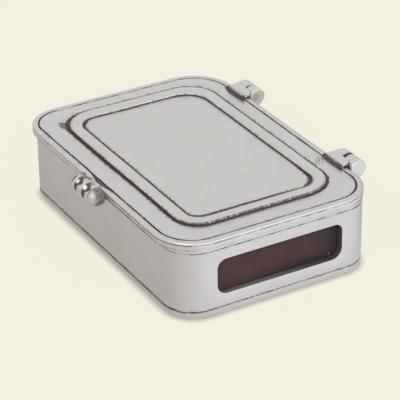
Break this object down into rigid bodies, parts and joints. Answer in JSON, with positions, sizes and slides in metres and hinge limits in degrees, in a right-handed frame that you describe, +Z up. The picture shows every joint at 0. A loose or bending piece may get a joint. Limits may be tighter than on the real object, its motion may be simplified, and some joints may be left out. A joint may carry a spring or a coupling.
{
  "type": "match box",
  "caption": "Flat rectangular pewter match box with rounded corners, a hinged lid with a raised frame and a turned thumbpiece, and a striking window in one end.",
  "frame": {"origin": "centre of the underside of the base plate, in the plane it rests on", "axes": "+Z up, +X along the long side towards the end with the striking window, -Y towards the thumbpiece, +Y towards the hinges"},
  "size_m": [0.1056, 0.0841, 0.029],
  "materials": {
    "body_pewter": "satin polished pewter with dark patina in the seams",
    "lid_pewter": "satin polished pewter, faintly pebbled, with dark patina round the raised frame",
    "hinge_pewter": "brighter, hand-worn pewter",
    "pin_steel": "plain drawn pin",
    "striker": "matt abrasive coating",
    "backing_board": "matt board"
  },
  "bodies": {
    "box": {"base_plate": "body_pewter", "body_wall": "body_pewter", "mouth_band": "body_pewter", "striker_strip": "striker", "striker_backing": "backing_board", "hinge_lug_left": "hinge_pewter", "hinge_lug_right": "hinge_pewter", "hinge_pin_left": "pin_steel", "hinge_pin_right": "pin_steel"},
    "lid": {"lid_plate": "lid_pewter", "lid_rim": "lid_pewter", "lid_frame": "lid_pewter", "thumbpiece": "hinge_pewter", "hinge_strap_left": "hinge_pewter", "hinge_strap_right": "hinge_pewter"}
  },
  "joints": [
    {"name": "lid_hinge", "type": "hinge", "parent": "box", "child": "lid", "pos_m": [0, 0.0396, 0.0261], "axis": [-1, 0, 0], "range_deg": [0, 180]}
  ]
}
